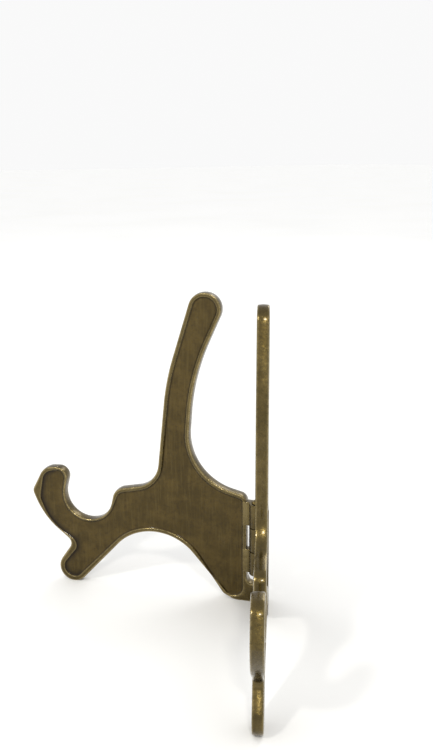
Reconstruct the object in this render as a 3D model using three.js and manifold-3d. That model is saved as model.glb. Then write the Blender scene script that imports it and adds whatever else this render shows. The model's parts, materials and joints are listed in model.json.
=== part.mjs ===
// Folding brass plate stand, in millimetres, +Z up.
// Two flat cast frames stand on edge in a V, joined at the back by a three-knuckle hinge with a riveted
// pin. Each frame has a front foot, a hooked lip with a round cradle for the plate's rim, an upright that
// the plate leans on, and a rear foot with a mitred heel. The heels meet when the stand is fully open.
// Origin: middle of the bounding box at table level. The plate faces -Y, and the hinge is at the back.
import * as THREE from "three";
import { mergeVertices } from "three/addons/utils/BufferGeometryUtils.js";
import Module from "manifold-3d";

const wasm = await Module();
wasm.setup();

// ---- Driving dimensions ----

const OPENING = THREE.MathUtils.degToRad(100); // angle between the two frames when the stand is fully open
const THICKNESS = 6.8; // of each frame
const FOLD_GAP = 0.15; // each inner face stands this far from the hinge axis, so folded frames don't rub
const STOP_GAP = 0.15; // each mitred heel stands this far from the middle plane when open
const EDGE_CHAMFER = 0.5; // stands for the rounded outer edge of the casting
const BORDER = 2.6; // width of the raised border round each frame, except at these places:
const FOOT_BORDER = 3.3;
const LIP_TIP_BORDER = 2;
const CRADLE_BORDER = 1.6;
const RECESS_DEPTH = 1.1; // how far the field inside the border is sunk, on both faces

// Places on a frame: u is measured forward from the hinge axis, z is height above the table.
const FOOT_RADIUS = 9.6;
const FOOT_FLAT = 0.4; // how much is filed off each foot, to leave a flat sole
const FOOT_SETBACK = 11.4; // how far the front foot's centre is behind the lip's
const REAR_FOOT_U = 12;
const WAIST = { ahead: 6, rise: 6.4, r: 4.5 }; // ahead of the front foot's centre, and above its top
const LIP = { u: 130, z: 65.7, r: 9.6 };
// Circles placed from another's centre: how far from it, and in which direction from the u axis.
const SHANK = { distance: 36.2, degrees: 168, r: 51.6 }; // from the lip
const BULGE = { distance: 11.4, degrees: -38, r: 4.9 }; // from the lip
const LIP_TIP = { distance: 4.4, degrees: 134, r: LIP.r - 3 }; // from the lip: its tighter end
const CRADLE = { run: 0.6, degrees: -152.6, r: 15.4 }; // from the lip's tip; a run is the space between
const HUMP = { run: 0.4, degrees: -177.6, r: 8 }; // from the cradle
const NECK = { run: 4.3, rise: 26.5, r: 17 }; // ahead of the upright's front edge, and above the hump
const CREST = { z: 178, r: 10, run: 1 };
const UPRIGHT_CENTRE = { u: -92, z: CREST.z - 74 }; // both edges of the upright are arcs about this
const UPRIGHT_FRONT_RADIUS = 150;
const UPRIGHT_WIDTH = 17;
const SHOULDER = { run: 0.5, rise: 0.2, r: 33.5 }; // behind the upright, and above the rear post
const ARCH = { back: 0.8, z: 6.5, r: 32 }; // behind the middle between the two feet
const HEEL_FILLET_RADIUS = 3;
const HEEL_FILLET_RISE = 0.2;
// The field's own circles, where its outline doesn't follow the casting's edge
const FIELD_WAIST = { distance: 3.1, degrees: -160.5, r: WAIST.r + 1 }; // from the waist
const FIELD_SHANK = { distance: 27.1, degrees: -171.7, r: SHANK.r - 15.4 }; // from the lip
const FIELD_BULGE = { distance: 10.7, degrees: -78.2, r: 6.7 }; // from the lip
const FIELD_CORNER = 5.5;
const FIELD_CORNER_RUN = 2.4;
const FIELD_HEEL = { rise: 6.4, r: 6 }; // above the heel

// Hinge
const PIN_RADIUS = 2;
const PIN_CLEARANCE = 0.15;
const BARREL_RADIUS = 5;
const KNUCKLE_COUNT = 3;
const KNUCKLE_PITCH = 15;
const KNUCKLE_GAP = 0.3; // free play between two knuckles, along the pin
const HEEL_TOP = 11.6;
const HEEL_CLEARANCE = 7.4; // from the heel up to the lowest knuckle, with the pin's head between
const REAR_CLEARANCE = 1.5; // from a knuckle's barrel to the other frame's rear edge
const POST_RISE = 4.3; // how far a frame's rear post stands above the highest knuckle
const POST_CORNER = 5.5;
const HEEL_REACH = 4.8; // how far the uncut heel goes behind the hinge axis
const HEAD_GAP = 0.3; // between each head of the pin and the knuckle it holds
const HEAD_OVERHANG = 1.6; // how far each head reaches past the pin
const HEAD_HEIGHT = 1.7;

// Fineness of the facets
const ARC_ERROR = 0.12; // furthest a chord may lie from its arc
const ARC_STEP_MOST = THREE.MathUtils.degToRad(24);
const FULLEST_ARC = THREE.MathUtils.degToRad(300); // a longer one is a belt that has crossed itself
const ROUND_SIDES = 28;
const DOME_STEPS = 4;
const PAST = 1; // how far a cutter runs past what it cuts
const WELD = 1e-4; // corners closer than this are one
const ARM_ROOT = 2.5; // how deep a knuckle's arm is rooted in its frame's border

// ---- Outline of a frame ----
// An outline is a belt run counter-clockwise round circles: material lies inside a lobe and outside a hollow.

const lobe = (u, z, r, border = BORDER) => ({ centre: new THREE.Vector2(u, z), r, turn: 1, border });
const hollow = (u, z, r, border = BORDER) => ({ centre: new THREE.Vector2(u, z), r, turn: -1, border });

// A place at a distance and direction from a circle's centre.
function from(circle, { distance, degrees }) {
  const angle = THREE.MathUtils.degToRad(degrees);
  return [circle.centre.x + distance * Math.cos(angle), circle.centre.y + distance * Math.sin(angle)];
}

// A place for a circle that lies beyond another, with a run between the two.
const beyond = (circle, { run, degrees, r }) => from(circle, { distance: circle.r + run + r, degrees });

const footHeight = FOOT_RADIUS - FOOT_FLAT;
const heelRadius = (HEEL_TOP + FOOT_FLAT) / 2;
const barrelBottom = HEEL_TOP + HEEL_CLEARANCE;
const barrelTop = barrelBottom + KNUCKLE_COUNT * KNUCKLE_PITCH;
const rearEdge = BARREL_RADIUS + REAR_CLEARANCE;
const postHeight = barrelTop + POST_RISE;
const frontFootU = LIP.u - FOOT_SETBACK;
const uprightBackRadius = UPRIGHT_FRONT_RADIUS - UPRIGHT_WIDTH;

// How far forward a point is that stands at height z and at a distance from the centre of the upright's arcs.
const onUpright = (distance, z) => UPRIGHT_CENTRE.u + Math.sqrt(distance ** 2 - (z - UPRIGHT_CENTRE.z) ** 2);

const frontFoot = lobe(frontFootU, footHeight, FOOT_RADIUS, FOOT_BORDER);
const waist = hollow(frontFootU + WAIST.ahead, footHeight + FOOT_RADIUS + WAIST.rise, WAIST.r);
const lip = lobe(LIP.u, LIP.z, LIP.r);
const shank = lobe(...from(lip, SHANK), SHANK.r);
const bulge = lobe(...from(lip, BULGE), BULGE.r);
const lipTip = lobe(...from(lip, LIP_TIP), LIP_TIP.r, LIP_TIP_BORDER);
const cradle = hollow(...beyond(lipTip, CRADLE), CRADLE.r, CRADLE_BORDER);
const hump = lobe(...beyond(cradle, HUMP), HUMP.r);
const neckHeight = hump.centre.y + NECK.rise;
const neck = hollow(onUpright(UPRIGHT_FRONT_RADIUS + NECK.r + NECK.run, neckHeight), neckHeight, NECK.r);
const uprightFront = lobe(UPRIGHT_CENTRE.u, UPRIGHT_CENTRE.z, UPRIGHT_FRONT_RADIUS);
const crest = lobe(onUpright(uprightBackRadius + CREST.r + CREST.run, CREST.z), CREST.z, CREST.r);
const uprightBack = hollow(UPRIGHT_CENTRE.u, UPRIGHT_CENTRE.z, uprightBackRadius);
const postTop = lobe(rearEdge + POST_CORNER, postHeight - POST_CORNER, POST_CORNER);
const shoulderHeight = postHeight + SHOULDER.r + SHOULDER.rise;
const shoulderReach = uprightBackRadius - SHOULDER.r + SHOULDER.run;
const shoulder = hollow(onUpright(shoulderReach, shoulderHeight), shoulderHeight, SHOULDER.r);
const heelFilletHeight = HEEL_TOP + HEEL_FILLET_RADIUS + HEEL_FILLET_RISE;
const heelFillet = hollow(rearEdge - HEEL_FILLET_RADIUS, heelFilletHeight, HEEL_FILLET_RADIUS);
const heel = lobe(heelRadius - HEEL_REACH, heelRadius - FOOT_FLAT, heelRadius);
const rearFoot = lobe(REAR_FOOT_U, footHeight, FOOT_RADIUS);
const arch = hollow((frontFootU + REAR_FOOT_U) / 2 - ARCH.back, ARCH.z, ARCH.r);

const edgeCircles = [
  frontFoot, waist, shank, bulge, lip, lipTip, cradle, hump, neck, uprightFront, crest,
  uprightBack, shoulder, postTop, heelFillet, heel, rearFoot, arch,
];

// The field's outline is the same belt moved in by each circle's border, so lobes shrink and hollows grow. In
// front it has a straighter shank, which leaves a wide border at the waist and the bulge. At the rear it runs
// straight down and ends ahead of the heel.
const fieldRear = rearEdge + BORDER;
const cornerU = fieldRear + FIELD_CORNER;
const cornerHeight = BORDER + FIELD_CORNER;
const ownFieldCircle = new Map([
  [waist, hollow(...from(waist, FIELD_WAIST), FIELD_WAIST.r)],
  [shank, lobe(...from(lip, FIELD_SHANK), FIELD_SHANK.r)],
  [bulge, lobe(...from(lip, FIELD_BULGE), FIELD_BULGE.r)],
  [heelFillet, hollow(fieldRear - FIELD_HEEL.r, HEEL_TOP + FIELD_HEEL.rise, FIELD_HEEL.r)],
  [heel, lobe(cornerU, cornerHeight, FIELD_CORNER)],
  [rearFoot, lobe(cornerU + FIELD_CORNER_RUN, cornerHeight, FIELD_CORNER)],
]);
const movedIn = (circle) => ({ ...circle, r: circle.r - circle.turn * circle.border });
const fieldCircles = edgeCircles.map((circle) => ownFieldCircle.get(circle) ?? movedIn(circle));

// Unit normal, to the left of travel, of the straight run of the belt from circle a to circle b.
function tangentNormal(a, b) {
  const along = b.centre.clone().sub(a.centre);
  const length = along.length();
  const share = (b.turn * b.r - a.turn * a.r) / length;
  if (Math.abs(share) > 1) throw new Error("two circles of an outline have no straight run between them");
  along.divideScalar(length);
  const across = new THREE.Vector2(-along.y, along.x);
  return along.multiplyScalar(share).addScaledVector(across, Math.sqrt(1 - share * share));
}

function beltPoints(circles) {
  const points = [];
  circles.forEach((circle, i) => {
    const before = circles[(i + circles.length - 1) % circles.length];
    const after = circles[(i + 1) % circles.length];
    const start = tangentNormal(before, circle).multiplyScalar(-circle.turn).angle();
    const end = tangentNormal(circle, after).multiplyScalar(-circle.turn).angle();
    const sweep = THREE.MathUtils.euclideanModulo(circle.turn * (end - start), 2 * Math.PI);
    if (sweep > FULLEST_ARC) throw new Error("an arc of an outline runs backwards");
    const finest = 2 * Math.acos(1 - ARC_ERROR / circle.r);
    const steps = Math.max(1, Math.ceil(sweep / Math.min(finest, ARC_STEP_MOST)));
    for (let k = 0; k <= steps; k++) {
      const angle = start + (circle.turn * sweep * k) / steps;
      const point = new THREE.Vector2(Math.cos(angle), Math.sin(angle));
      points.push(point.multiplyScalar(circle.r).add(circle.centre));
    }
  });
  return points;
}

// ---- Solids ----

// A closed three.js geometry as a solid that can be joined and cut.
function solid(geometry) {
  const bare = new THREE.BufferGeometry();
  const source = geometry.index ? geometry.toNonIndexed() : geometry;
  bare.setAttribute("position", source.getAttribute("position").clone());
  const merged = mergeVertices(bare, WELD);
  const mesh = new wasm.Mesh({
    numProp: 3,
    vertProperties: merged.attributes.position.array,
    triVerts: new Uint32Array(merged.index.array),
  });
  return new wasm.Manifold(mesh);
}

function geometryOf(manifold) {
  const mesh = manifold.getMesh();
  const geometry = new THREE.BufferGeometry();
  geometry.setAttribute("position", new THREE.BufferAttribute(new Float32Array(mesh.vertProperties), 3));
  geometry.setIndex(new THREE.BufferAttribute(new Uint32Array(mesh.triVerts), 1));
  geometry.computeVertexNormals();
  return geometry;
}

// Box between two corners.
function box(low, high) {
  const size = new THREE.Vector3().subVectors(high, low);
  const middle = new THREE.Vector3().addVectors(high, low).multiplyScalar(0.5);
  return new THREE.BoxGeometry(size.x, size.y, size.z).translate(middle.x, middle.y, middle.z);
}

// Upright cylinder on the hinge axis.
function column(radius, bottom, top) {
  const height = top - bottom;
  return new THREE.CylinderGeometry(radius, radius, height, ROUND_SIDES).translate(0, bottom + height / 2, 0);
}

const knuckles = Array.from({ length: KNUCKLE_COUNT }, (_, i) => ({
  bottom: barrelBottom + i * KNUCKLE_PITCH + KNUCKLE_GAP / 2,
  top: barrelBottom + (i + 1) * KNUCKLE_PITCH - KNUCKLE_GAP / 2,
}));

// A frame drawn flat: x is u, y is up, and z is across the thickness, with the hinge axis on x = 0, z = 0.
// outward is +1 or -1: which way along z the outer face looks.
function frameSolid(outward, ownKnuckles) {
  const shape = new THREE.Shape(beltPoints(edgeCircles));
  const plate = new THREE.ExtrudeGeometry(shape, {
    depth: THICKNESS - 2 * EDGE_CHAMFER,
    bevelEnabled: true,
    bevelThickness: EDGE_CHAMFER,
    bevelSize: EDGE_CHAMFER,
    bevelOffset: -EDGE_CHAMFER,
    bevelSegments: 1,
  });
  const innerFace = outward * FOLD_GAP;
  const outerFace = outward * (FOLD_GAP + THICKNESS);
  plate.translate(0, 0, EDGE_CHAMFER + Math.min(innerFace, outerFace));
  let body = solid(plate);

  // The field inside the border, sunk into both faces.
  const field = new THREE.Shape(beltPoints(fieldCircles));
  [innerFace, outerFace].forEach((face) => {
    const intoMaterial = face === innerFace ? outward : -outward;
    const floor = face + intoMaterial * RECESS_DEPTH;
    const past = face - intoMaterial * PAST;
    const cutter = new THREE.ExtrudeGeometry(field, { depth: Math.abs(floor - past), bevelEnabled: false });
    cutter.translate(0, 0, Math.min(floor, past));
    body = body.subtract(solid(cutter));
  });

  // Flat soles, and the mitre that lets the two heels meet on the middle plane.
  const far = THICKNESS * 4; // well past the heel on every side
  const sole = box(new THREE.Vector3(-far, -far, -far), new THREE.Vector3(LIP.u + far, 0, far));
  const mitre = box(new THREE.Vector3(-far, -far, -far), new THREE.Vector3(STOP_GAP, far, far));
  mitre.rotateY(outward * (OPENING / 2 - Math.PI / 2));
  body = body.subtract(solid(sole)).subtract(solid(mitre));

  // Knuckles, each on an arm that is flush with the back of its barrel.
  ownKnuckles.forEach(({ bottom, top }) => {
    const across = [innerFace, outward * BARREL_RADIUS];
    const arm = box(
      new THREE.Vector3(0, bottom, Math.min(...across)),
      new THREE.Vector3(rearEdge + ARM_ROOT, top, Math.max(...across)),
    );
    body = body.add(solid(arm)).add(solid(column(BARREL_RADIUS, bottom, top)));
  });
  return body.subtract(solid(column(PIN_RADIUS + PIN_CLEARANCE, HEEL_TOP, barrelTop + PAST)));
}

// The pin is one turned rod with a domed head peened on at each end.
function pinGeometry() {
  const shaftBottom = knuckles[0].bottom - HEAD_GAP;
  const shaftTop = knuckles.at(-1).top + HEAD_GAP;
  const headRadius = PIN_RADIUS + HEAD_OVERHANG;
  const rim = Array.from({ length: DOME_STEPS }, (_, i) => {
    const angle = ((i / DOME_STEPS) * Math.PI) / 2;
    return new THREE.Vector2(Math.cos(angle) * headRadius, Math.sin(angle) * HEAD_HEIGHT);
  });
  const dome = [...rim, new THREE.Vector2(0, HEAD_HEIGHT)];
  const upper = dome.map((p) => new THREE.Vector2(p.x, shaftTop + p.y));
  const lower = dome.map((p) => new THREE.Vector2(p.x, shaftBottom - p.y)).reverse();
  const shaft = [new THREE.Vector2(PIN_RADIUS, shaftBottom), new THREE.Vector2(PIN_RADIUS, shaftTop)];
  return new THREE.LatheGeometry([...lower, ...shaft, ...upper], ROUND_SIDES);
}

// ---- Assembly ----

const castBrass = new THREE.MeshStandardMaterial({ color: 0x8a6f2f, roughness: 0.34, metalness: 1 });
const turnedBrass = new THREE.MeshStandardMaterial({ color: 0xa88a45, roughness: 0.28, metalness: 1 });

function named(name, geometry, material) {
  const mesh = new THREE.Mesh(geometry, material);
  mesh.name = name;
  mesh.rotation.x = Math.PI / 2; // from y up to z up
  return mesh;
}

const stand = new THREE.Group();
const hinge = new THREE.Group(); // stands on the hinge axis

const isOuter = (_, i) => i % 2 === 0;
const isBetween = (_, i) => i % 2 === 1;

const leftTurn = new THREE.Group();
leftTurn.rotation.z = -(Math.PI / 2 + OPENING / 2);
leftTurn.add(named("left_frame", geometryOf(frameSolid(1, knuckles.filter(isOuter))), castBrass));

const rightTurn = new THREE.Group();
rightTurn.rotation.z = -(Math.PI / 2 - OPENING / 2);
rightTurn.add(named("right_frame", geometryOf(frameSolid(-1, knuckles.filter(isBetween))), castBrass));

hinge.add(leftTurn, rightTurn);
hinge.add(named("hinge_pin", pinGeometry(), turnedBrass));
stand.add(hinge);

// Bring the middle of the box over the origin.
const extent = new THREE.Box3().setFromObject(stand, true);
hinge.position.y = -(extent.min.y + extent.max.y) / 2;

export default stand;
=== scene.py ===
import json
import math

import bmesh
import bpy
import numpy as np
from mathutils import Matrix, Vector
from mathutils.geometry import delaunay_2d_cdt


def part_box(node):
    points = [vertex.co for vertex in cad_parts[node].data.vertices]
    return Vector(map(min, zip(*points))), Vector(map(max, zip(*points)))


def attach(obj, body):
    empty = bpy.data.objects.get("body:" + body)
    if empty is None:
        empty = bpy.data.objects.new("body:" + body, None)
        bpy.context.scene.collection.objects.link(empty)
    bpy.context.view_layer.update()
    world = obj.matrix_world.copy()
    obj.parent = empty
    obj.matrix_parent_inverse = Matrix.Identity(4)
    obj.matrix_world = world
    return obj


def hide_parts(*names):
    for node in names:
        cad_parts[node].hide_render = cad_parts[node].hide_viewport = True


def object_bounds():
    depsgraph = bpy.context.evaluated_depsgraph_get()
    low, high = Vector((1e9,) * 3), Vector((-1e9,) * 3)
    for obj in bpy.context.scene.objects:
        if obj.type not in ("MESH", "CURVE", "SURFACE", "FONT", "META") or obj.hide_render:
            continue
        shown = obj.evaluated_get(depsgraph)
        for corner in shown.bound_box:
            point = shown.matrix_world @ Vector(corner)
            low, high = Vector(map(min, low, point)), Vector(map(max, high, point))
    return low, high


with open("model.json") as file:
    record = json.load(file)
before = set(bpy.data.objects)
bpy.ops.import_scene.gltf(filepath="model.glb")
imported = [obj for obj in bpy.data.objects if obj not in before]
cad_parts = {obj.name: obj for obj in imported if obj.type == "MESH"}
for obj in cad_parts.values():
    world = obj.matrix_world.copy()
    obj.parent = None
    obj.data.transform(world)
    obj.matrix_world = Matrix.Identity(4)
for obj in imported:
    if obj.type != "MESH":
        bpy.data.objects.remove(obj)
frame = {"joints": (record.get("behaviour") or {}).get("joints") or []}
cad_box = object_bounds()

MM = 0.001

# ---- Sizes that the frame gives ----
fold = frame["joints"][0]
hinge_at = Vector(fold["pos_m"])
opening = math.radians(abs(fold["range_deg"][0]))
pin_low, pin_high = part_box("hinge_pin")
overall_height = (cad_box[1].z - cad_box[0].z) / MM

# ---- Sizes of the casting, as in the part's source ----
THICKNESS = 6.8
FOLD_GAP = 0.15
STOP_GAP = 0.15
BORDER = 2.6
FOOT_BORDER = 3.3
LIP_TIP_BORDER = 2
CRADLE_BORDER = 1.6
RECESS_DEPTH = 1.1
FOOT_RADIUS = 9.6
FOOT_FLAT = 0.4
FOOT_SETBACK = 11.4
REAR_FOOT_U = 12
# A circle placed from another one's centre has its place as a distance and an angle in degrees.
WAIST_AHEAD, WAIST_RISE, WAIST_RADIUS = 6, 6.4, 4.5
LIP_U, LIP_Z, LIP_RADIUS = 130, 65.7, 9.6
SHANK_FROM_LIP, SHANK_RADIUS = (36.2, 168), 51.6
BULGE_FROM_LIP, BULGE_RADIUS = (11.4, -38), 4.9
LIP_TIP_FROM_LIP, LIP_TIP_LESS = (4.4, 134), 3
CRADLE_RUN, CRADLE_TURN, CRADLE_RADIUS = 0.6, -152.6, 15.4
HUMP_RUN, HUMP_TURN, HUMP_RADIUS = 0.4, -177.6, 8
NECK_RUN, NECK_RISE, NECK_RADIUS = 4.3, 26.5, 17
CREST_RUN, CREST_RADIUS = 1, 10
CREST_Z = round(overall_height) - CREST_RADIUS
UPRIGHT_U, UPRIGHT_BELOW_CREST = -92, 74
UPRIGHT_Z = CREST_Z - UPRIGHT_BELOW_CREST
UPRIGHT_FRONT_RADIUS = 150
UPRIGHT_WIDTH = 17
SHOULDER_RUN, SHOULDER_RISE, SHOULDER_RADIUS = 0.5, 0.2, 33.5
ARCH_BACK, ARCH_Z, ARCH_RADIUS = 0.8, 6.5, 32
HEEL_FILLET_RISE, HEEL_FILLET_RADIUS = 0.2, 3
PIN_RADIUS = 2
PIN_CLEARANCE = 0.15
BARREL_RADIUS = 5
KNUCKLE_COUNT = 3
KNUCKLE_PITCH = 15
KNUCKLE_GAP = 0.3
HEEL_TOP = 11.6
HEEL_CLEARANCE = 7.4
REAR_CLEARANCE = 1.5
POST_RISE = 4.3
POST_CORNER = 5.5
HEEL_REACH = 4.8
HEAD_HEIGHT = 1.7
FIELD_CORNER, FIELD_CORNER_RUN = 5.5, 2.4
FIELD_WAIST_FROM_WAIST, FIELD_WAIST_MORE = (3.1, -160.5), 1
FIELD_SHANK_FROM_LIP, FIELD_SHANK_LESS = (27.1, -171.7), 15.4
FIELD_BULGE_FROM_LIP, FIELD_BULGE_RADIUS = (10.7, -78.2), 6.7
FIELD_FILLET_RISE, FIELD_FILLET_RADIUS = 0.4, 6
ARM_ROOT = 2.5

# ---- Sizes of the fine surface ----
SKIN = 0.06          # the fine outline stays this far inside the CAD one
CORNER = 0.6         # radius of the casting's rounded outer edge
EDGE_TILT = math.radians(11)  # how far the edge's gentle round leans where the corner takes over
INNER_CORNER = 0.4   # radius of the bead's edge above the field
BEAD_CROWN = 0.16    # how much the bead's middle stands above its two edges
FIELD_CROWN = 0.12   # how much the middle of the field stands above its edges
FOOT_THINNING = 0.14 # the front foot is filed thinner than the lip by this share
THIN_BELOW, FULL_ABOVE = 30, 42
FULL_BEHIND, THIN_BEYOND = 80, 104
ARC_STEP = math.radians(7)
CHORD = 1.1          # longest chord on a large arc
RUN_STEP = 2.4
LEAST_ARC = 0.6      # a shorter arc is taken as part of the straight run it lies on
FILL_STEP = 2.2
ROUND_SIDES = 72
CORNER_STEPS = 5
BEAD_PROFILE = ((0.2, 0.36), (0.4, 0.04), (0.6, 0.04), (0.8, 0.36))  # share of width, share of crown
CLEAR_OF_RING = 0.55 # least distance of a filling point from its ring, as a share of FILL_STEP
MOST_SWEEP = math.radians(300)
MERGE_WITHIN = 1e-5
SAME_POINT = 1e-12   # square of a length that counts as none

# ---- Where the finish changes ----
SUNK_BELOW, SUNK_BLEND = 0.62, 0.3
WALL_BELOW, WALL_BLEND = 0.3, 0.35
PAST_CORNER = 1.4    # how many corner radii from the edge the inner part begins
FRONT_CIRCLES = 5    # the first circles, front foot to lip, where the painted shade at the field's rim is heaviest
FRONT_SHADE_WIDTH = 1.9
# The rest of the field's rim gets a thinner dark line, partly grime in the hollow and partly painted
# shade.
THIN_GRIME_AND_SHADE_WIDTH, THIN_GRIME_AND_SHADE_SHARE = 0.8, 0.5
CORNER_RUB_PLACE, CORNER_RUB_DEPTH = (0.65, 0.5), (0.25, 0.5)
BEAD_RUB_PLACE, BEAD_RUB_DEPTH, BEAD_RUB_SHARE = (0, 0.5), (0.2, 0.25), 0.8

# ---- How solids are made ----
KNUCKLE_EDGE = 0.4   # radius of a knuckle's upper and lower edge
BORE_PAST_TOP = 1
FAR = 400            # well past the stand, for the boxes that cut it
FRAME_SHARP = math.radians(34)
PIN_SHARP = math.radians(40)

# ---- Outline ----


class Circle:
    """A circle of a belt: material lies inside a lobe (turn 1) and outside a hollow (turn -1)."""

    def __init__(self, u, z, r, turn, border=BORDER):
        self.centre = Vector((u, z))
        self.r = r
        self.turn = turn
        self.border = border

    def moved_in(self, distance):
        return Circle(*self.centre, self.r - self.turn * distance, self.turn, self.border)


def lobe(u, z, r, border=BORDER):
    return Circle(u, z, r, 1, border)


def hollow(u, z, r, border=BORDER):
    return Circle(u, z, r, -1, border)


def away(circle, distance, degrees):
    angle = math.radians(degrees)
    return circle.centre + distance * Vector((math.cos(angle), math.sin(angle)))


def on_upright(distance, z):
    return UPRIGHT_U + math.sqrt(distance**2 - (z - UPRIGHT_Z) ** 2)


foot_height = FOOT_RADIUS - FOOT_FLAT
heel_radius = (HEEL_TOP + FOOT_FLAT) / 2
barrel_bottom = HEEL_TOP + HEEL_CLEARANCE
barrel_top = barrel_bottom + KNUCKLE_COUNT * KNUCKLE_PITCH
rear_edge = BARREL_RADIUS + REAR_CLEARANCE
post_height = barrel_top + POST_RISE
front_foot_u = LIP_U - FOOT_SETBACK
upright_back_radius = UPRIGHT_FRONT_RADIUS - UPRIGHT_WIDTH
half = THICKNESS / 2
corner_depth = SKIN + BEAD_CROWN + (CORNER - BEAD_CROWN) * (1 - math.sin(EDGE_TILT))
edge_reach = half - corner_depth
edge_round = edge_reach / math.sin(EDGE_TILT)


def outlines():
    """The casting's edge and the edge of its field, as two belts round matching circles."""
    front_foot = lobe(front_foot_u, foot_height, FOOT_RADIUS, FOOT_BORDER)
    waist_z = foot_height + FOOT_RADIUS + WAIST_RISE
    waist = hollow(front_foot_u + WAIST_AHEAD, waist_z, WAIST_RADIUS)
    lip = lobe(LIP_U, LIP_Z, LIP_RADIUS)
    shank = lobe(*away(lip, *SHANK_FROM_LIP), SHANK_RADIUS)
    bulge = lobe(*away(lip, *BULGE_FROM_LIP), BULGE_RADIUS)
    lip_tip = lobe(*away(lip, *LIP_TIP_FROM_LIP), LIP_RADIUS - LIP_TIP_LESS, LIP_TIP_BORDER)
    cradle_at = away(lip_tip, lip_tip.r + CRADLE_RADIUS + CRADLE_RUN, CRADLE_TURN)
    cradle = hollow(*cradle_at, CRADLE_RADIUS, CRADLE_BORDER)
    hump_at = away(cradle, CRADLE_RADIUS + HUMP_RADIUS + HUMP_RUN, HUMP_TURN)
    hump = lobe(*hump_at, HUMP_RADIUS)
    neck_z = hump.centre.y + NECK_RISE
    neck_u = on_upright(UPRIGHT_FRONT_RADIUS + NECK_RADIUS + NECK_RUN, neck_z)
    neck = hollow(neck_u, neck_z, NECK_RADIUS)
    upright_front = lobe(UPRIGHT_U, UPRIGHT_Z, UPRIGHT_FRONT_RADIUS)
    crest_u = on_upright(upright_back_radius + CREST_RADIUS + CREST_RUN, CREST_Z)
    crest = lobe(crest_u, CREST_Z, CREST_RADIUS)
    upright_back = hollow(UPRIGHT_U, UPRIGHT_Z, upright_back_radius)
    shoulder_z = post_height + SHOULDER_RADIUS + SHOULDER_RISE
    shoulder_u = on_upright(upright_back_radius - SHOULDER_RADIUS + SHOULDER_RUN, shoulder_z)
    shoulder = hollow(shoulder_u, shoulder_z, SHOULDER_RADIUS)
    post_top = lobe(rear_edge + POST_CORNER, post_height - POST_CORNER, POST_CORNER)
    fillet_z = HEEL_TOP + HEEL_FILLET_RADIUS + HEEL_FILLET_RISE
    heel_fillet = hollow(rear_edge - HEEL_FILLET_RADIUS, fillet_z, HEEL_FILLET_RADIUS)
    heel = lobe(heel_radius - HEEL_REACH, heel_radius - FOOT_FLAT, heel_radius)
    rear_foot = lobe(REAR_FOOT_U, foot_height, FOOT_RADIUS)
    arch = hollow((front_foot_u + REAR_FOOT_U) / 2 - ARCH_BACK, ARCH_Z, ARCH_RADIUS)
    edge = [front_foot, waist, shank, bulge, lip, lip_tip, cradle, hump, neck, upright_front, crest,
            upright_back, shoulder, post_top, heel_fillet, heel, rear_foot, arch]
    field_rear = rear_edge + BORDER
    corner_z = BORDER + FIELD_CORNER
    field_fillet_z = HEEL_TOP + FIELD_FILLET_RADIUS + FIELD_FILLET_RISE
    own = {
        waist: hollow(*away(waist, *FIELD_WAIST_FROM_WAIST), WAIST_RADIUS + FIELD_WAIST_MORE),
        shank: lobe(*away(lip, *FIELD_SHANK_FROM_LIP), SHANK_RADIUS - FIELD_SHANK_LESS),
        bulge: lobe(*away(lip, *FIELD_BULGE_FROM_LIP), FIELD_BULGE_RADIUS),
        heel_fillet: hollow(field_rear - FIELD_FILLET_RADIUS, field_fillet_z, FIELD_FILLET_RADIUS),
        heel: lobe(field_rear + FIELD_CORNER, corner_z, FIELD_CORNER),
        rear_foot: lobe(field_rear + FIELD_CORNER + FIELD_CORNER_RUN, corner_z, FIELD_CORNER),
    }
    field = [own.get(circle) or circle.moved_in(circle.border) for circle in edge]
    return edge, field


def tangent_normal(a, b):
    """Unit normal, to the left of travel, of the straight run of the belt from a to b."""
    along = b.centre - a.centre
    share = (b.turn * b.r - a.turn * a.r) / along.length
    if abs(share) > 1:
        raise ValueError("two circles of an outline have no straight run between them")
    along.normalize()
    across = Vector((-along.y, along.x))
    return along * share + across * math.sqrt(1 - share**2)


def contacts(circles):
    """For each circle: the angle where the belt meets it, and the angle it turns through on it."""
    found = []
    for i, circle in enumerate(circles):
        ends = []
        for a, b in ((circles[i - 1], circle), (circle, circles[(i + 1) % len(circles)])):
            normal = tangent_normal(a, b) * -circle.turn
            ends.append(math.atan2(normal.y, normal.x))
        sweep = (circle.turn * (ends[1] - ends[0])) % (2 * math.pi)
        if sweep > MOST_SWEEP:
            raise ValueError("an arc of an outline runs backwards")
        found.append((ends[0], sweep))
    return found


def on_circle(circle, angle):
    return circle.centre + circle.r * Vector((math.cos(angle), math.sin(angle)))


def counts(circles):
    """How many chords each arc gets, and how many pieces the straight run after it gets."""
    found = []
    arcs = contacts(circles)
    for i, (circle, (start, sweep)) in enumerate(zip(circles, arcs)):
        following = circles[(i + 1) % len(circles)]
        end = on_circle(circle, start + circle.turn * sweep)
        run = (on_circle(following, arcs[(i + 1) % len(arcs)][0]) - end).length
        chord = min(ARC_STEP, CHORD / circle.r)
        found.append((max(2, math.ceil(sweep / chord)), max(1, math.ceil(run / RUN_STEP))))
    return found


def belt(circles, steps):
    """The belt's points, counter-clockwise: the same number on each circle for every ring of a casting."""
    points = []
    for circle, (start, sweep), (arc_steps, run_steps) in zip(circles, contacts(circles), steps):
        turns = sweep * circle.r > LEAST_ARC
        for k in range(arc_steps + 1):
            angle = start + circle.turn * sweep * k / arc_steps
            points.append(on_circle(circle, angle) if turns else None)
        points += [None] * (run_steps - 1)
    known = [i for i, point in enumerate(points) if point is not None]
    for i, j in zip(known, known[1:] + [known[0] + len(points)]):
        for k in range(i + 1, j):
            points[k % len(points)] = points[i].lerp(points[j % len(points)], (k - i) / (j - i))
    return points


# ---- Casting ----


def smoothstep(low, high, x):
    t = min(1, max(0, (x - low) / (high - low)))
    return t * t * (3 - 2 * t)


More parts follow.
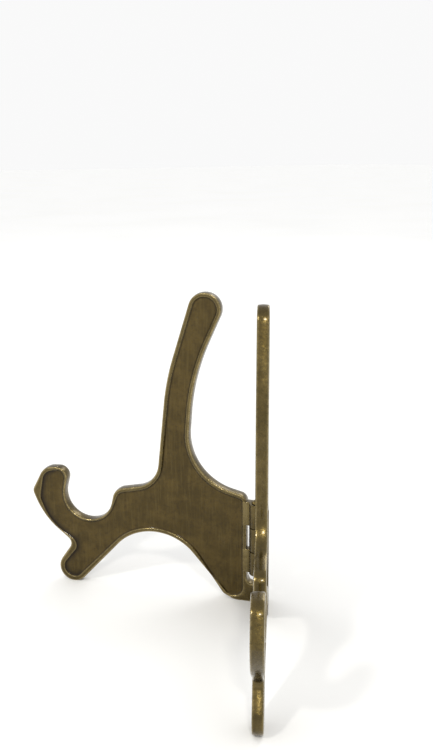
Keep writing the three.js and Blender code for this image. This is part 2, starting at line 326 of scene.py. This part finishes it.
def thinning(u, z):
    """What share of its thickness the casting keeps: the front foot is thinner than the lip."""
    in_front = smoothstep(FULL_BEHIND, THIN_BEYOND, u)
    low_down = 1 - smoothstep(THIN_BELOW, FULL_ABOVE, z)
    return 1 - FOOT_THINNING * in_front * low_down


def face_rings(edge, field, steps):
    """Rings of one face, from the outer edge to the field's floor, as (points, depth below the face).
    A known fault: the bead's faces fold over each other at the rear foot, the heel fillet, and
    from the waist to the shank."""
    rings = []
    edge_crown = edge_round * (1 - math.cos(EDGE_TILT))
    for k in range(CORNER_STEPS + 1):
        angle = EDGE_TILT + (math.pi / 2 - EDGE_TILT) * k / CORNER_STEPS
        inset = SKIN + edge_crown + CORNER * (math.cos(EDGE_TILT) - math.cos(angle))
        depth = SKIN + BEAD_CROWN + (CORNER - BEAD_CROWN) * (1 - math.sin(angle))
        rings.append((belt([c.moved_in(inset) for c in edge], steps), depth))
    outer = rings[-1][0]
    inner = belt([c.moved_in(-INNER_CORNER) for c in field], steps)
    for share, sunk in BEAD_PROFILE:
        ring = [a.lerp(b, share) for a, b in zip(outer, inner)]
        rings.append((ring, SKIN + BEAD_CROWN * sunk))
    floor = RECESS_DEPTH
    # How far outward of the field's edge each ring of the wall lies, and how deep.
    wall = ((INNER_CORNER, BEAD_CROWN), (0.3, 0.21), (0.15, 0.31), (0, 0.46), (-0.18, floor - 0.4),
            (-0.42, floor - 0.21), (-0.75, floor - 0.08), (-1.1, floor - 0.02), (-1.5, floor - 0.02))
    for outward, depth in wall:
        rings.append((belt([c.moved_in(-outward) for c in field], steps), SKIN + depth))
    return rings


def inside(point, ring):
    """True if a point lies inside a closed ring."""
    u, z = point
    hits = 0
    for a, b in zip(ring, ring[1:] + ring[:1]):
        if (a.y > z) != (b.y > z) and u < a.x + (z - a.y) * (b.x - a.x) / (b.y - a.y):
            hits += 1
    return hits % 2 == 1


def fill_points(ring):
    """Evenly spaced points inside a ring, none close to it, and how far each one is from it."""
    low = (min(p.x for p in ring), min(p.y for p in ring))
    high = (max(p.x for p in ring), max(p.y for p in ring))
    edge = np.array([tuple(p) for p in ring])
    found = []
    for row in range(math.ceil((high[1] - low[1]) / FILL_STEP)):
        z = low[1] + row * FILL_STEP
        for column in range(math.ceil((high[0] - low[0]) / FILL_STEP) + 1):
            u = low[0] + (column + 0.5 * (row % 2)) * FILL_STEP
            clear = np.hypot(edge[:, 0] - u, edge[:, 1] - z).min()
            if clear > FILL_STEP * CLEAR_OF_RING and inside((u, z), ring):
                found.append((Vector((u, z)), clear))
    return found


def fill(ring):
    """Triangles that fill a ring, over its own points followed by points inside it.
    Gives the inner points' distances from the ring, all the points, and the triangles."""
    inner = fill_points(ring)
    points = list(ring) + [p for p, _ in inner]
    edges = [(i, (i + 1) % len(ring)) for i in range(len(ring))]
    inside_only = 1
    made = delaunay_2d_cdt(points, edges, [], inside_only, MERGE_WITHIN)
    corners, faces, origins = made[0], made[2], made[3]
    if len(corners) != len(points):
        raise ValueError("the field's outline crosses itself")
    where = [own[0] for own in origins]
    return [clear for _, clear in inner], points, [[where[i] for i in f] for f in faces]


def casting_mesh():
    """One casting drawn flat: x is u, y is across with 0 at mid-thickness, z is up, all in millimetres."""
    edge, field = outlines()
    steps = counts(edge)
    rings = face_rings(edge, field, steps)
    clear, points, faces = fill(rings[-1][0])
    mesh = bmesh.new()
    floor = rings[-1][1]

    def vertex(point, side, depth):
        across = side * (half - depth) * thinning(point.x, point.y)
        return mesh.verts.new((point.x, across, point.y))

    sides = {}
    for side in (-1, 1):
        made = [[vertex(p, side, depth) for p in ring] for ring, depth in rings]
        crowns = [FIELD_CROWN * smoothstep(0.5, 6, distance) for distance in clear]
        within = [vertex(p, side, floor - crown) for p, crown in zip(points[len(made[-1]):], crowns)]
        sides[side] = made
        floor_vertices = made[-1] + within
        for face in faces:
            mesh.faces.new([floor_vertices[i] for i in (face if side < 0 else reversed(face))])
        for outer, inner in zip(made, made[1:]):
            bridge(mesh, outer, inner, side < 0)
    # The rounded corners of the two faces are joined by the gently rounded edge of the casting.
    middles = []
    for share in (-0.75, -0.5, -0.25, 0, 0.25, 0.5, 0.75):
        lean = math.asin(share * math.sin(EDGE_TILT))
        inset = SKIN + edge_round * (1 - math.cos(lean))
        middles.append([
            mesh.verts.new((p.x, share * edge_reach * thinning(p.x, p.y), p.y))
            for p in belt([c.moved_in(inset) for c in edge], steps)
        ])
    chain = [sides[-1][0], *middles, sides[1][0]]
    for a, b in zip(chain, chain[1:]):
        bridge(mesh, a, b, False)
    bmesh.ops.recalc_face_normals(mesh, faces=mesh.faces)
    return mesh


def bridge(mesh, a, b, flip):
    """Quads between two rings with the same number of points."""
    for i in range(len(a)):
        j = (i + 1) % len(a)
        quad = [a[i], a[j], b[j], b[i]]
        mesh.faces.new(quad if flip else quad[::-1])


def knuckle_section(inward):
    """Section of a knuckle and its arm, seen from above.
    inward is -1 or 1: which way across the inner face looks."""
    radius = BARREL_RADIUS - SKIN
    begin = math.asin(FOLD_GAP / radius)
    arm_end = rear_edge + ARM_ROOT
    section = []
    sweep = 2 * math.pi - begin - math.pi / 2
    steps = round(ROUND_SIDES * 0.75)
    for k in range(steps + 1):
        angle = -begin - sweep * k / steps
        section.append((radius * math.cos(angle), radius * math.sin(angle)))
    section += [(arm_end * 0.5, radius), (arm_end, radius)]
    section += [(arm_end, FOLD_GAP), (arm_end * 0.75, FOLD_GAP)]
    return [(u, y * -inward) for u, y in section]


def section_solid(section, bottom, top, round_edge):
    """An upright solid with this section, its top and bottom edges rounded."""
    mesh = bmesh.new()
    count = len(section)
    area = sum(a[0] * b[1] - b[0] * a[1] for a, b in zip(section, section[1:] + section[:1]))
    ccw = section if area > 0 else section[::-1]
    normals = []
    for i in range(count):
        before, after = ccw[i - 1], ccw[(i + 1) % count]
        along = Vector((after[0] - before[0], after[1] - before[1])).normalized()
        normals.append(Vector((along.y, -along.x)))
    levels = []
    steps = 3
    for k in range(steps + 1):
        angle = math.pi / 2 * k / steps
        levels.append((round_edge * (1 - math.sin(angle)), bottom + round_edge * (1 - math.cos(angle))))
    levels += [(inset, top + bottom - z) for inset, z in reversed(levels)]
    rings = []
    for inset, z in levels:
        rings.append([
            mesh.verts.new((p[0] - normal.x * inset, p[1] - normal.y * inset, z))
            for p, normal in zip(ccw, normals)
        ])
    for a, b in zip(rings, rings[1:]):
        bridge(mesh, a, b, True)
    mesh.faces.new(reversed(rings[0]))
    mesh.faces.new(rings[-1])
    bmesh.ops.recalc_face_normals(mesh, faces=mesh.faces)
    return mesh


def circle_section(radius):
    angles = [2 * math.pi * k / ROUND_SIDES for k in range(ROUND_SIDES)]
    return [(radius * math.cos(angle), radius * math.sin(angle)) for angle in angles]


def box_mesh(low, high):
    mesh = bmesh.new()
    corners = bmesh.ops.create_cube(mesh, size=1)["verts"]
    for v in corners:
        v.co = Vector([low[i] if v.co[i] < 0 else high[i] for i in range(3)])
    return mesh


def to_object(name, mesh, turn=Matrix.Identity(4)):
    """A drawn solid in millimetres as an object in metres on the hinge axis, its place in its mesh."""
    data = bpy.data.meshes.new(name)
    mesh.transform(Matrix.Translation(hinge_at) @ Matrix.Scale(MM, 4) @ turn)
    mesh.to_mesh(data)
    mesh.free()
    made = bpy.data.objects.new(name, data)
    bpy.context.scene.collection.objects.link(made)
    return made


def combine(target, tool, operation):
    """Joins a tool to a solid, or cuts it away, and removes the tool."""
    modifier = target.modifiers.new(operation.title(), "BOOLEAN")
    modifier.operation = operation
    modifier.object = tool
    modifier.solver = "EXACT"
    graph = bpy.context.evaluated_depsgraph_get()
    data = bpy.data.meshes.new_from_object(target.evaluated_get(graph))
    old = target.data
    if len(data.polygons) < len(old.polygons) / 2:
        raise ValueError("a cut or a join lost most of " + target.name)
    target.modifiers.clear()
    target.data = data
    data.name = target.name
    bpy.data.meshes.remove(old)
    bpy.data.objects.remove(tool)


def knuckle_ends(i):
    """The bottom and the top of a knuckle, counted from the lowest."""
    bottom = barrel_bottom + i * KNUCKLE_PITCH + KNUCKLE_GAP / 2
    top = barrel_bottom + (i + 1) * KNUCKLE_PITCH - KNUCKLE_GAP / 2
    return bottom, top


knuckles = [knuckle_ends(i) for i in range(KNUCKLE_COUNT)]


def frame_piece(name, node, body, side, own_knuckles):
    """A whole frame: its casting, cut at the soles and the mitre, with its knuckles joined on and bored.
    side is -1 for the left frame and 1 for the right one."""
    angle = -(math.pi / 2 - side * opening / 2)
    spread = Matrix.Rotation(angle, 4, "Z")
    seat = Matrix.Translation((0, side * (FOLD_GAP + half), 0))
    piece = to_object(name, casting_mesh(), spread @ seat)
    below_floor = box_mesh((-FAR, -FAR, -FAR), (FAR, FAR, 0))
    combine(piece, to_object("sole_cut", below_floor), "DIFFERENCE")
    past_middle = sorted((side * STOP_GAP, -side * FAR))
    low, high = (past_middle[0], -FAR, -FAR), (past_middle[1], FAR, FAR)
    combine(piece, to_object("mitre_cut", box_mesh(low, high)), "DIFFERENCE")
    for bottom, top in own_knuckles:
        knuckle = section_solid(knuckle_section(-side), bottom, top, KNUCKLE_EDGE)
        combine(piece, to_object("knuckle", knuckle, spread), "UNION")
    bore_section = circle_section(PIN_RADIUS + PIN_CLEARANCE)
    bore = section_solid(bore_section, HEEL_TOP, barrel_top + BORE_PAST_TOP, 0)
    combine(piece, to_object("bore", bore), "DIFFERENCE")
    mark_surface(piece, spread, side)
    piece.data.polygons.foreach_set("use_smooth", [True] * len(piece.data.polygons))
    piece.data.set_sharp_from_angle(angle=FRAME_SHARP)
    piece.data.materials.clear()
    piece.data.materials.append(cast_brass)
    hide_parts(node)
    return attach(piece, body)


def rise(values, middle, width, power=2):
    """A smooth rise to 1 where the values reach the middle."""
    return np.exp(-(((values - middle) / width) ** power))


def distance_to_line(points, line, closed=True):
    """How far each point is from a line of straight pieces."""
    a = np.array([tuple(p) for p in line])
    b = np.roll(a, -1, axis=0)
    if not closed:
        a, b = a[:-1], b[:-1]
    along = b - a
    length2 = (along**2).sum(1)
    best = np.full(len(points), np.inf)
    for start, step, square in zip(a, along, length2):
        if square < SAME_POINT:
            continue
        offset = points - start
        t = np.clip(offset @ step / square, 0, 1)
        best = np.minimum(best, np.hypot(*(offset - t[:, None] * step).T))
    return best


def mark_surface(piece, spread, side):
    """Writes what the finish follows: the sunk field, the foot of its wall where grime and painted shade
    darken it, most along the front, and the rubbed edges.
    """
    edge, field = outlines()
    steps = counts(edge)
    count = len(piece.data.vertices)
    co = np.empty(count * 3)
    piece.data.vertices.foreach_get("co", co)
    unseat = Matrix.Translation((0, -side * (FOLD_GAP + half), 0))
    back = np.array((unseat @ spread.inverted()).to_4x4())
    local = (co.reshape(-1, 3) - np.array(hinge_at)) / MM @ back[:3, :3].T + back[:3, 3]
    flat = local[:, [0, 2]]
    keep = np.array([thinning(u, z) for u, z in flat])
    depth = half - np.abs(local[:, 1]) / keep
    field_ring = belt(field, steps)
    front_count = sum(arc_steps + run_steps for arc_steps, run_steps in steps[:FRONT_CIRCLES])
    from_field = distance_to_line(flat, field_ring)
    from_front = distance_to_line(flat, field_ring[:front_count], closed=False)
    from_edge = distance_to_line(flat, belt(edge, steps))
    inner_part = from_edge > CORNER * PAST_CORNER
    sunk = np.clip((depth - SUNK_BELOW) / SUNK_BLEND, 0, 1) * inner_part
    low_down = np.clip((depth - WALL_BELOW) / WALL_BLEND, 0, 1) * inner_part
    # Painted shade: along the front foot, waist, shank and lip, the foot of the field's wall is darkened
    # as if it lay in shade.
    painted_front_shade = rise(from_front, 0, FRONT_SHADE_WIDTH)
    # Along the rest of the field's rim there is a thinner dark line, partly grime in the hollow and partly
    # painted shade.
    thin_grime_and_shade = THIN_GRIME_AND_SHADE_SHARE * rise(from_field, 0, THIN_GRIME_AND_SHADE_WIDTH, 4)
    grime_and_painted_shade = low_down * np.maximum(painted_front_shade, thin_grime_and_shade)
    corner = rise(from_edge, *CORNER_RUB_PLACE) * rise(depth, *CORNER_RUB_DEPTH)
    bead = rise(from_field, *BEAD_RUB_PLACE) * rise(depth, *BEAD_RUB_DEPTH)
    rub = np.maximum(corner, bead * BEAD_RUB_SHARE)
    for name, values in (("sunk", sunk), ("grime_and_painted_shade", grime_and_painted_shade), ("rub", rub)):
        layer = piece.data.attributes.new(name, "FLOAT", "POINT")
        layer.data.foreach_set("value", values.astype(np.float32))


def pin_piece():
    """The pin: a turned rod with a peened head at each end, slightly flattened where it was struck."""
    shaft_low = pin_low.z / MM + HEAD_HEIGHT
    shaft_high = pin_high.z / MM - HEAD_HEIGHT
    head = (pin_high.x - pin_low.x) / MM / 2 - SKIN
    fillet = 0.3
    dome = []
    dome_steps = 12
    for k in range(dome_steps + 1):
        angle = math.pi / 2 * k / dome_steps
        dome.append((head * math.cos(angle) ** 0.8, (HEAD_HEIGHT - SKIN) * math.sin(angle) ** 1.1))
    under = [(PIN_RADIUS, 0.0), (head - fillet, 0.0), (head - 0.08, 0.08)]
    upper = [(r, shaft_high + z) for r, z in under + [p for p in dome if p[1] > 0.1]]
    lower = [(r, shaft_low + shaft_high - z) for r, z in reversed(upper)]
    rings = [p for p in lower + upper if p[0] > 0.05]
    mesh = bmesh.new()
    made = []
    for radius, z in rings:
        made.append([
            mesh.verts.new((radius * math.cos(a), radius * math.sin(a), z))
            for a in (2 * math.pi * k / ROUND_SIDES for k in range(ROUND_SIDES))
        ])
    for a, b in zip(made, made[1:]):
        bridge(mesh, a, b, True)
    mesh.faces.new(reversed(made[0]))
    mesh.faces.new(made[-1])
    bmesh.ops.recalc_face_normals(mesh, faces=mesh.faces)
    piece = to_object("riveted_hinge_pin", mesh)
    piece.data.polygons.foreach_set("use_smooth", [True] * len(piece.data.polygons))
    piece.data.set_sharp_from_angle(angle=PIN_SHARP)
    piece.data.materials.append(turned_brass)
    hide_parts("hinge_pin")
    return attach(piece, "left")


# ---- Materials ----


class Nodes:
    """Short calls for building a material's nodes."""

    def __init__(self, material):
        material.use_nodes = True
        self.tree = material.node_tree
        self.shader = self.tree.nodes["Principled BSDF"]
        self.place = self.tree.nodes.new("ShaderNodeTexCoord").outputs["Object"]

    def link(self, value, socket):
        if isinstance(value, bpy.types.NodeSocket):
            self.tree.links.new(value, socket)
        else:
            socket.default_value = value

    def stretched(self, x, y, z):
        node = self.tree.nodes.new("ShaderNodeMapping")
        self.link(self.place, node.inputs["Vector"])
        node.inputs["Scale"].default_value = (x, y, z)
        return node.outputs["Vector"]

    def noise(self, scale, detail=4, rough=0.5, where=None):
        node = self.tree.nodes.new("ShaderNodeTexNoise")
        self.link(where or self.place, node.inputs["Vector"])
        node.inputs["Scale"].default_value = scale
        node.inputs["Detail"].default_value = detail
        node.inputs["Roughness"].default_value = rough
        return node.outputs["Fac"]

    def cells(self, scale):
        node = self.tree.nodes.new("ShaderNodeTexVoronoi")
        self.link(self.place, node.inputs["Vector"])
        node.inputs["Scale"].default_value = scale
        return node.outputs["Distance"]

    def mark(self, name):
        node = self.tree.nodes.new("ShaderNodeAttribute")
        node.attribute_name = name
        return node.outputs["Fac"]

    def spread(self, value, low, high, to_low=0.0, to_high=1.0):
        node = self.tree.nodes.new("ShaderNodeMapRange")
        node.interpolation_type = "SMOOTHSTEP"
        self.link(value, node.inputs["Value"])
        ends = {"From Min": low, "From Max": high, "To Min": to_low, "To Max": to_high}
        for name, number in ends.items():
            node.inputs[name].default_value = number
        return node.outputs["Result"]

    def math(self, operation, a, b):
        node = self.tree.nodes.new("ShaderNodeMath")
        node.operation = operation
        node.use_clamp = operation in ("ADD", "MULTIPLY")
        self.link(a, node.inputs[0])
        self.link(b, node.inputs[1])
        return node.outputs["Value"]

    def mix(self, share, a, b):
        node = self.tree.nodes.new("ShaderNodeMix")
        node.data_type = "RGBA"
        self.link(share, node.inputs["Factor"])
        self.link(a, node.inputs[6])
        self.link(b, node.inputs[7])
        return node.outputs[2]

    def bump(self, height, strength, distance, under=None):
        node = self.tree.nodes.new("ShaderNodeBump")
        node.inputs["Strength"].default_value = strength
        node.inputs["Distance"].default_value = distance
        self.link(height, node.inputs["Height"])
        if under is not None:
            self.link(under, node.inputs["Normal"])
        return node.outputs["Normal"]


def cast_brass_material():
    """Old cast brass: olive patina in the field, grime and painted shade at its rim, heaviest along the
    front, and bare metal on rubbed edges.
    """
    material = bpy.data.materials.new("aged_cast_brass")
    n = Nodes(material)
    dark_olive, pale_olive = (0.056, 0.036, 0.0055, 1), (0.084, 0.055, 0.011, 1)
    dark_bead, pale_bead = (0.066, 0.046, 0.011, 1), (0.105, 0.075, 0.022, 1)
    stain, polish = (0.036, 0.022, 0.004, 1), (0.118, 0.084, 0.024, 1)
    bare, soil_and_shade, pit = (0.3, 0.235, 0.105, 1), (0.012, 0.006, 0.001, 1), (0.02, 0.012, 0.003, 1)
    blotch = n.noise(95, 5, 0.6)
    mottle = n.noise(420, 6, 0.62)
    streak = n.noise(60, 5, 0.6, n.stretched(14, 14, 1))
    speck = n.spread(n.cells(900), 0.0, 0.16, 1, 0)
    grain = n.noise(3600, 3, 0.55)
    sunk, grime_and_painted_shade, rub = n.mark("sunk"), n.mark("grime_and_painted_shade"), n.mark("rub")

    olive = n.mix(n.spread(blotch, 0.38, 0.64), dark_olive, pale_olive)
    bead = n.mix(n.spread(blotch, 0.36, 0.66), dark_bead, pale_bead)
    metal = n.mix(sunk, bead, olive)
    metal = n.mix(n.spread(mottle, 0.5, 0.74, 0, 0.5), metal, stain)
    metal = n.mix(n.spread(streak, 0.45, 0.72, 0, 0.4), metal, polish)
    worn = n.math("MULTIPLY", rub, n.spread(mottle, 0.3, 0.62, 0.35, 1))
    metal = n.mix(worn, metal, bare)
    # Painted shade and grime: the soil colour darkens the foot of the field's wall, most along the front,
    # as if shaded there.
    grime_and_shade = n.math("MULTIPLY", grime_and_painted_shade, n.spread(mottle, 0.25, 0.7, 1, 0.82))
    metal = n.mix(grime_and_shade, metal, soil_and_shade)
    pitted = n.math("MULTIPLY", speck, n.spread(blotch, 0.45, 0.7))
    metal = n.mix(n.math("MULTIPLY", pitted, 0.55), metal, pit)
    n.link(metal, n.shader.inputs["Base Color"])
    n.shader.inputs["Metallic"].default_value = 1
    n.shader.inputs["Coat Weight"].default_value = 0.4
    n.shader.inputs["Coat Roughness"].default_value = 0.13

    rough = n.spread(mottle, 0.28, 0.74, 0.22, 0.36)
    rough = n.math("ADD", rough, n.math("MULTIPLY", sunk, 0.2))
    rough = n.math("ADD", rough, n.math("MULTIPLY", grime_and_shade, 0.3))
    rough = n.math("SUBTRACT", rough, n.math("MULTIPLY", worn, 0.06))
    n.link(rough, n.shader.inputs["Roughness"])

    normal = n.bump(blotch, 0.35, 0.0011)
    normal = n.bump(streak, 0.25, 0.00022, normal)
    normal = n.bump(mottle, 0.35, 0.00018, normal)
    normal = n.bump(grain, 0.2, 0.00004, normal)
    normal = n.bump(n.math("SUBTRACT", 1.0, pitted), 0.4, 0.00012, normal)
    n.link(normal, n.shader.inputs["Normal"])
    return material


def turned_brass_material():
    """Turned brass: fine rings left by the tool, a little tarnish, and small dents from the peening."""
    material = bpy.data.materials.new("turned_brass")
    n = Nodes(material)
    clean, tarnished = (0.19, 0.14, 0.048, 1), (0.085, 0.06, 0.017, 1)
    ridge = (0.27, 0.205, 0.085, 1)
    rings = n.noise(700, 3, 0.5, n.stretched(0.02, 0.02, 1.6))
    tarnish = n.noise(380, 5, 0.6)
    dents = n.cells(620)
    metal = n.mix(n.spread(tarnish, 0.36, 0.66), clean, tarnished)
    metal = n.mix(n.spread(rings, 0.45, 0.7, 0, 0.35), metal, ridge)
    n.link(metal, n.shader.inputs["Base Color"])
    n.shader.inputs["Metallic"].default_value = 1
    n.link(n.spread(tarnish, 0.3, 0.7, 0.24, 0.42), n.shader.inputs["Roughness"])
    normal = n.bump(rings, 0.35, 0.00006)
    normal = n.bump(dents, 0.4, 0.0002, normal)
    n.link(normal, n.shader.inputs["Normal"])
    return material


def floor_material():
    material = bpy.data.materials.new("pale_floor")
    n = Nodes(material)
    shade = n.noise(3, 3, 0.5)
    duller, paler = (0.86, 0.86, 0.85, 1), (0.89, 0.89, 0.88, 1)
    n.link(n.mix(n.spread(shade, 0.3, 0.7), duller, paler), n.shader.inputs["Base Color"])
    n.shader.inputs["Roughness"].default_value = 0.85
    # Far from the stand the floor glows a little, so that it meets the background without a line.
    distance = n.tree.nodes.new("ShaderNodeVectorMath")
    distance.operation = "LENGTH"
    n.link(n.place, distance.inputs[0])
    glow = n.spread(distance.outputs["Value"], 0.35, 1.6, 0, FAR_GLOW)
    n.shader.inputs["Emission Color"].default_value = (1, 1, 1, 1)
    n.link(glow, n.shader.inputs["Emission Strength"])
    return material


# ---- Studio ----

# The camera that the view was solved for, with its place measured from the hinge axis.
VIEW_AZIMUTH, VIEW_ELEVATION, VIEW_ROLL = 53.9, 12.37, -0.31
CAMERA_FROM_HINGE = Vector((0.37357, -0.2981, 0.26623))
LENS = 41.66
SENSOR = 36
SHIFT = (-0.0064, -0.0452)
FAR_GLOW = 0.12
FLOOR_REACH = 12000
AIM_SHARE = 0.35     # how far up the stand the lights look


def make_camera():
    azimuth, elevation, roll = (math.radians(a) for a in (VIEW_AZIMUTH, VIEW_ELEVATION, VIEW_ROLL))
    level = math.cos(elevation)
    back = Vector((math.sin(azimuth) * level, -math.cos(azimuth) * level, math.sin(elevation)))
    right = Vector((math.cos(azimuth), math.sin(azimuth), 0))
    up = back.cross(right)
    rolled_right = math.cos(roll) * right + math.sin(roll) * up
    rolled_up = math.cos(roll) * up - math.sin(roll) * right
    data = bpy.data.cameras.new("camera")
    data.lens, data.sensor_width = LENS, SENSOR
    data.shift_x, data.shift_y = SHIFT
    data.clip_start = 0.01
    camera = bpy.data.objects.new("camera", data)
    bpy.context.scene.collection.objects.link(camera)
    axes = Matrix((rolled_right, rolled_up, back)).transposed().to_4x4()
    camera.matrix_world = Matrix.Translation(hinge_at + CAMERA_FROM_HINGE) @ axes
    bpy.context.scene.camera = camera


def softbox(name, azimuth, elevation, distance, size, power, colour=(1, 1, 1)):
    """A square of light that looks at the stand. Azimuth 0 is on the plate's side, and 90 on the right."""
    aim = Vector((0, 0, overall_height * MM * AIM_SHARE))
    a, e = math.radians(azimuth), math.radians(elevation)
    away_from = Vector((math.sin(a) * math.cos(e), -math.cos(a) * math.cos(e), math.sin(e)))
    data = bpy.data.lights.new(name, "AREA")
    data.shape = "RECTANGLE"
    data.size, data.size_y = size
    data.energy = power
    data.color = colour
    light = bpy.data.objects.new(name, data)
    light.location = aim + away_from * distance
    light.rotation_mode = "QUATERNION"
    light.rotation_quaternion = away_from.to_track_quat("Z", "Y")
    bpy.context.scene.collection.objects.link(light)


def make_studio():
    scene = bpy.context.scene
    scene.view_settings.view_transform = "Standard"
    world = bpy.data.worlds.new("studio")
    world.use_nodes = True
    sky = world.node_tree.nodes["Background"]
    sky.inputs["Color"].default_value = (1, 1, 1, 1)
    sky.inputs["Strength"].default_value = 0.95
    scene.world = world
    warm = (1, 0.97, 0.9)
    softbox("key_left", 12, 40, 1.6, (0.13, 0.13), 6, warm)
    softbox("key_right", 60, 38, 1.6, (0.13, 0.13), 6, warm)
    softbox("fill_left", -60, 35, 1.8, (1.2, 1.0), 4)
    softbox("rim_back", 200, 40, 1.8, (0.8, 0.6), 5)
    floor = bmesh.new()
    around = ((-1, -1), (1, -1), (1, 1), (-1, 1))
    floor.faces.new([floor.verts.new((x * FLOOR_REACH, y * FLOOR_REACH, 0)) for x, y in around])
    ground = to_object("floor", floor)
    ground.data.materials.append(floor_material())


make_camera()
make_studio()
cast_brass = cast_brass_material()
turned_brass = turned_brass_material()
frame_piece("left_casting", "left_frame", "left", -1, knuckles[0::2])
frame_piece("right_casting", "right_frame", "right", 1, knuckles[1::2])
pin_piece()
